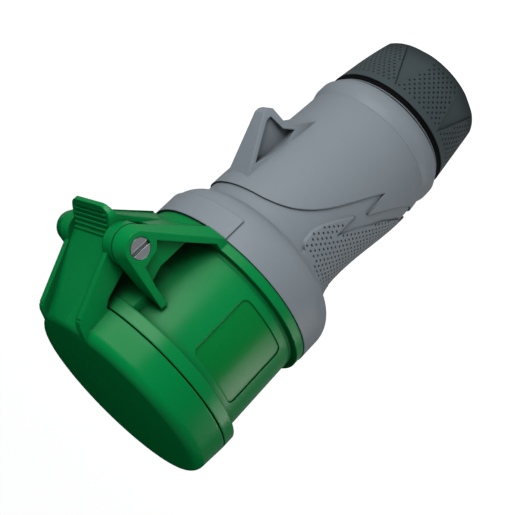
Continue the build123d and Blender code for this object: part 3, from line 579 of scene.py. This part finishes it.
# Rear housing: the grey grip, moulded in polyamide with a slightly softer sheen than the green, and
# turned on to the socket housing's lugs. Short slots, moulded in rows that stand in each other's
# gaps, roughen its two grip pads.
def dimple_tree():
    """Node tree: sinks one dimple into a closed mesh at each spot, and paints the result."""
    tree = bpy.data.node_groups.new("dimples", "GeometryNodeTree")
    face = tree.interface
    face.new_socket(name="Geometry", in_out="OUTPUT", socket_type="NodeSocketGeometry")
    face.new_socket(name="Geometry", in_out="INPUT", socket_type="NodeSocketGeometry")
    face.new_socket(name="Spots", in_out="INPUT", socket_type="NodeSocketObject")
    for label in ("Half length", "Half width", "Depth"):
        face.new_socket(name=label, in_out="INPUT", socket_type="NodeSocketFloat")
    face.new_socket(name="Material", in_out="INPUT", socket_type="NodeSocketMaterial")
    add, link = tree.nodes.new, tree.links.new
    given, out = add("NodeGroupInput"), add("NodeGroupOutput")
    merged = add("GeometryNodeMergeByDistance")
    merged.inputs["Distance"].default_value = 1e-6
    spots = add("GeometryNodeObjectInfo")
    facing = add("GeometryNodeInputNamedAttribute")
    facing.data_type = "FLOAT_VECTOR"
    facing.inputs["Name"].default_value = "facing"
    along = add("GeometryNodeInputNamedAttribute")
    along.data_type = "FLOAT_VECTOR"
    along.inputs["Name"].default_value = "along"
    turn = add("FunctionNodeAxesToRotation")
    turn.primary_axis = "Z"
    turn.secondary_axis = "X"
    size = add("ShaderNodeCombineXYZ")
    drop = add("GeometryNodeMeshUVSphere")
    drop.inputs["Segments"].default_value = 8
    drop.inputs["Rings"].default_value = 6
    drop.inputs["Radius"].default_value = 1.0
    place = add("GeometryNodeInstanceOnPoints")
    drops = add("GeometryNodeRealizeInstances")
    cut = add("GeometryNodeMeshBoolean")
    cut.operation = "DIFFERENCE"
    cut.solver = "MANIFOLD"
    smooth = add("GeometryNodeSetShadeSmooth")
    bend = add("GeometryNodeInputMeshEdgeAngle")
    steep = add("FunctionNodeCompare")
    steep.inputs["B"].default_value = math.radians(28.0)
    sharp = add("GeometryNodeSetShadeSmooth")
    sharp.domain = "EDGE"
    sharp.inputs["Shade Smooth"].default_value = False
    whole = add("GeometryNodeRealizeInstances")
    paint = add("GeometryNodeSetMaterial")
    link(given.outputs["Geometry"], merged.inputs["Geometry"])
    link(given.outputs["Spots"], spots.inputs["Object"])
    link(given.outputs["Half length"], size.inputs["X"])
    link(given.outputs["Half width"], size.inputs["Y"])
    link(given.outputs["Depth"], size.inputs["Z"])
    link(facing.outputs["Attribute"], turn.inputs["Primary Axis"])
    link(along.outputs["Attribute"], turn.inputs["Secondary Axis"])
    link(spots.outputs["Geometry"], place.inputs["Points"])
    link(drop.outputs["Mesh"], place.inputs["Instance"])
    link(turn.outputs["Rotation"], place.inputs["Rotation"])
    link(size.outputs["Vector"], place.inputs["Scale"])
    link(place.outputs["Instances"], drops.inputs["Geometry"])
    link(merged.outputs["Geometry"], cut.inputs["Mesh 1"])
    link(drops.outputs["Geometry"], cut.inputs["Mesh 2"])
    link(cut.outputs["Mesh"], smooth.inputs["Geometry"])
    link(bend.outputs["Unsigned Angle"], steep.inputs["A"])
    link(smooth.outputs["Geometry"], sharp.inputs["Geometry"])
    link(steep.outputs["Result"], sharp.inputs["Selection"])
    link(sharp.outputs["Geometry"], whole.inputs["Geometry"])
    link(whole.outputs["Geometry"], paint.inputs["Geometry"])
    link(given.outputs["Material"], paint.inputs["Material"])
    link(paint.outputs["Geometry"], out.inputs["Geometry"])
    return tree


dimples = dimple_tree()


def lattice_spots(mesh, angles, column_step, row_step, heights, accepts, start_radius=0.06):
    """Spots of a staggered lattice on a mesh round the axis: place, outward normal, direction round."""
    surface = BVHTree.FromPolygons([v.co for v in mesh.vertices], [p.vertices for p in mesh.polygons])
    spots = []
    for column in range(math.ceil(angles[0] / column_step), math.floor(angles[1] / column_step) + 1):
        angle = math.radians(column * column_step)
        outwards = Vector((math.cos(angle), math.sin(angle), 0.0))
        height = heights[0] + (column % 2) * row_step / 2
        while height < heights[1]:
            start = outwards * start_radius + Vector((0.0, 0.0, height))
            spot, normal, _, _ = surface.ray_cast(start, -outwards)
            if spot is not None and accepts(surface, spot):
                spots.append((spot, normal, Vector((-outwards.y, outwards.x, 0.0))))
            height += row_step
    return spots


def dimpled(name, body, spots, half_length, half_width, depth, material):
    """Copy of a CAD node with a dimple at each spot, as a plain mesh that stands for the node."""
    marks_mesh = bpy.data.meshes.new(name + "_spots")
    marks_mesh.from_pydata([spot for spot, _, _ in spots], [], [])
    for label, which in (("facing", 1), ("along", 2)):
        values = marks_mesh.attributes.new(label, "FLOAT_VECTOR", "POINT").data
        for value, spot in zip(values, spots):
            value.vector = spot[which]
    marks = bpy.data.objects.new(name + "_spots", marks_mesh)
    piece = bpy.data.objects.new(name + "_dimpled", nodes[name].data.copy())
    for made in (marks, piece):
        bpy.context.scene.collection.objects.link(made)
    worker = piece.modifiers.new("dimples", "NODES")
    worker.node_group = dimples
    given = {
        "Spots": marks,
        "Half length": half_length,
        "Half width": half_width,
        "Depth": depth,
        "Material": material,
    }
    for item in dimples.interface.items_tree:
        if item.in_out == "INPUT" and item.name in given:
            worker[item.identifier] = given[item.name]
    graph = bpy.context.evaluated_depsgraph_get()
    result = bpy.data.meshes.new_from_object(piece.evaluated_get(graph), depsgraph=graph)
    piece.modifiers.remove(worker)
    piece.data = result
    bpy.data.objects.remove(marks)
    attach(piece, body)
    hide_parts(name)
    return piece


# The pad's outline from its upper corner, as y and z in metres, and the least way from it to a slot
pad_outline = [
    (0.0081, 0.1114),
    (0.0098, 0.1104),
    (0.0109, 0.1072),
    (0.0110, 0.1036),
    (0.0096, 0.0982),
    (0.0064, 0.0914),
    (0.0017, 0.0830),
    (0.0017, 0.0956),
    (-0.0045, 0.0842),
    (-0.0127, 0.0700),
    (-0.0208, 0.0603),
    (-0.0310, 0.0531),
    (-0.0400, 0.0531),
    (-0.0400, 0.1166),
]
pad_margin = 0.0009


def on_pad(surface, spot):
    """Whether a spot lies on the pad, away from its outline."""
    inside = False
    nearest = math.inf
    here = Vector((spot.y, spot.z))
    for start, end in zip(pad_outline, pad_outline[1:] + pad_outline[:1]):
        start, end = Vector(start), Vector(end)
        if (start.y > here.y) != (end.y > here.y):
            crossing = start.x + (here.y - start.y) / (end.y - start.y) * (end.x - start.x)
            inside = inside != (here.x < crossing)
        side = end - start
        share = min(1.0, max(0.0, (here - start).dot(side) / side.length_squared))
        nearest = min(nearest, (here - start - side * share).length)
    return inside and nearest > pad_margin


# Painted shade darkens its creases down to a quarter of its tone.
grey = moulded(
    "grey polyamide", (0.205, 0.236, 0.262), roughness=0.36, bump=0.14, specular=0.12, painted_crease_shade=0.25
)
pad_spots = lattice_spots(
    nodes["rear_housing"].data,
    angles=(-205.0, 25.0),
    column_step=2.4,
    row_step=0.0038,
    heights=(0.0525, 0.1125),
    accepts=on_pad,
)
dimpled(
    "rear_housing",
    "housing",
    pad_spots,
    half_length=0.00070,
    half_width=0.00040,
    depth=0.00075,
    material=grey,
)

# Thrust washer: a thin ring of the same grey polyamide. It is slipped on the gland's spigot, behind
# the grip's end, so that the nut doesn't rub on the grip.
dress(grey, "thrust_washer")

# Gland nut: moulded in dark grey polyamide, glass-filled and a little rougher, and screwed on the
# spigot. Round dimples roughen the plain cone between its six facets.
nut_rear_radius, nut_front_radius, nut_length = 0.0287, 0.0320, 0.0287
dimple_radius = 0.00056


def on_cone(surface, spot, off_surface=0.004, flatness=0.00008):
    """Whether the nut is still a plain cone for one dimple's width round a spot."""
    outwards = Vector((spot.x, spot.y, 0.0)).normalized()
    aside = Vector((-outwards.y, outwards.x, 0.0))
    for across, up in ((0, 0), (2, 0), (-2, 0), (0, 2), (0, -2)):
        start = spot + outwards * off_surface + (aside * across + Vector((0.0, 0.0, up))) * dimple_radius
        hit = surface.ray_cast(start, -outwards)[0]
        if hit is None:
            return False
        cone_radius = nut_rear_radius + (nut_front_radius - nut_rear_radius) * hit.z / nut_length
        if Vector((hit.x, hit.y)).length < cone_radius - flatness:
            return False
    return True


# Painted shade darkens its creases down to three tenths of its tone.
dark = moulded(
    "dark grey polyamide", (0.050, 0.066, 0.071), roughness=0.42, bump=0.16, specular=0.14, painted_crease_shade=0.30
)
nut_columns = 136
nut_spots = lattice_spots(
    nodes["gland_nut"].data,
    angles=(0.0, 359.9),
    column_step=360.0 / nut_columns,
    row_step=0.00375,
    heights=(0.0040, 0.0262),
    accepts=on_cone,
)
dimpled(
    "gland_nut",
    "nut",
    nut_spots,
    half_length=dimple_radius,
    half_width=dimple_radius,
    depth=0.0007,
    material=dark,
)

# Clamp ring and carrier ring: black polyamide mouldings. The nut pushes the one on the gland seal,
# and the other holds the contact carrier in the barrel.
black = moulded("black polyamide", (0.015, 0.016, 0.017), roughness=0.45, bump=0.15, specular=0.3)
dress(black, "clamp_ring", "carrier_ring")

# Contact carrier and its front plate: pale insulators, pressed from thermoset. They stand on the
# ledge in the socket housing and hold the five contacts.
pale = moulded("pale insulator", (0.50, 0.51, 0.50), roughness=0.5, bump=0.12, specular=0.3)
dress(pale, "contact_carrier", "contact_plate")


# Hinge pin: turned from steel, with a screwdriver slot sawn across its head, and pushed through both
# ears and the lid's knuckles. Its head stands flush with the ear, and a steel clip holds its plain end.
def metal(name, colour, roughness):
    """Turned metal: noise stretched round the axis in tone, gloss and bump; painted shade in creases."""
    made, add, link, out = new_material(name)
    place = add.new("ShaderNodeTexCoord")
    stretch = add.new("ShaderNodeMapping")
    stretch.inputs["Scale"].default_value = (1.0, 1.0, 6.0)
    lines = add.new("ShaderNodeTexNoise")
    lines.inputs["Scale"].default_value = 900.0
    lines.inputs["Detail"].default_value = 4.0
    gloss = add.new("ShaderNodeMapRange")
    gloss.inputs["To Min"].default_value = roughness - 0.08
    gloss.inputs["To Max"].default_value = roughness + 0.12
    tone = add.new("ShaderNodeMapRange")
    tone.inputs["To Min"].default_value = 0.85
    tone.inputs["To Max"].default_value = 1.1
    edges = add.new("ShaderNodeGroup")
    edges.node_tree = edge_and_shade_group
    edges.inputs["Edge radius"].default_value = 0.0003
    edges.inputs["Crease reach"].default_value = 0.0025
    # Painted shade: the crease mask darkens the base colour in the head's slot and other crevices.
    shade = add.new("ShaderNodeMath")
    shade.operation = "MULTIPLY"
    tint = add.new("ShaderNodeMix")
    tint.data_type = "RGBA"
    tint.blend_type = "MULTIPLY"
    tint.inputs["Factor"].default_value = 1.0
    tint.inputs["A"].default_value = (*colour, 1.0)
    relief = add.new("ShaderNodeBump")
    relief.inputs["Strength"].default_value = 0.15
    relief.inputs["Distance"].default_value = 0.0001
    shader = add.new("ShaderNodeBsdfPrincipled")
    shader.inputs["Metallic"].default_value = 1.0
    link(place.outputs["Object"], stretch.inputs["Vector"])
    link(stretch.outputs[0], lines.inputs["Vector"])
    link(lines.outputs["Fac"], gloss.inputs["Value"])
    link(lines.outputs["Fac"], tone.inputs["Value"])
    link(lines.outputs["Fac"], relief.inputs["Height"])
    link(tone.outputs[0], shade.inputs[0])
    link(edges.outputs["Open"], shade.inputs[1])
    link(shade.outputs[0], tint.inputs["B"])
    link(edges.outputs["Normal"], relief.inputs["Normal"])
    link(tint.outputs["Result"], shader.inputs["Base Color"])
    link(gloss.outputs[0], shader.inputs["Roughness"])
    link(relief.outputs["Normal"], shader.inputs["Normal"])
    link(shader.outputs[0], out.inputs["Surface"])
    return made


steel = metal("steel", (0.40, 0.43, 0.45), roughness=0.36)
hinge_y, hinge_z = 0.0567, 0.1664
head_face, slot_depth, slot_half, saw_reach, saw_clearance = 0.0276, 0.0008, 0.00085, 0.0065, 0.0010
saw_outline = [
    (hinge_y - slot_half, hinge_z - saw_reach),
    (hinge_y + slot_half, hinge_z - saw_reach),
    (hinge_y + slot_half, hinge_z + saw_reach),
    (hinge_y - slot_half, hinge_z + saw_reach),
]
saw_cut = bar_across("saw cut", saw_outline, head_face - slot_depth, head_face + saw_clearance)
pin_mesh = combined(welded(nodes["hinge_pin"].data.copy()), "DIFFERENCE", saw_cut)
placed("hinge_pin_slotted", pin_mesh, "housing", steel, "hinge_pin")
dress(steel, "hinge_clip")

# Lid spring: a torsion spring, coiled from steel wire round the pin. On the real part its coil winds
# up as the lid opens: the leg under the lid's arm turns with the lid, and the leg on the barrel
# stays. Here the wire keeps its rest shape.
spring_mesh = crisp(welded(nodes["lid_spring"].data.copy()), 40.0)
spring = bpy.data.objects.new("lid_spring_wire", spring_mesh)
bpy.context.scene.collection.objects.link(spring)
spring.data.materials.clear()
spring.data.materials.append(steel)
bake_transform(spring)
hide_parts("lid_spring")

# Contacts: five sockets turned from brass and slit at the mouth. A ring of spring steel holds each
# one closed, and a steel screw clamps the wire in its terminal.
brass = metal("brass", (0.72, 0.50, 0.22), roughness=0.3)
for pole in ("pe", "l1", "l2", "l3", "n"):
    dress(brass, "contact_" + pole)
    dress(steel, "contact_ring_" + pole, "terminal_screw_" + pole)

bpy.context.scene.view_settings.view_transform = "Standard"
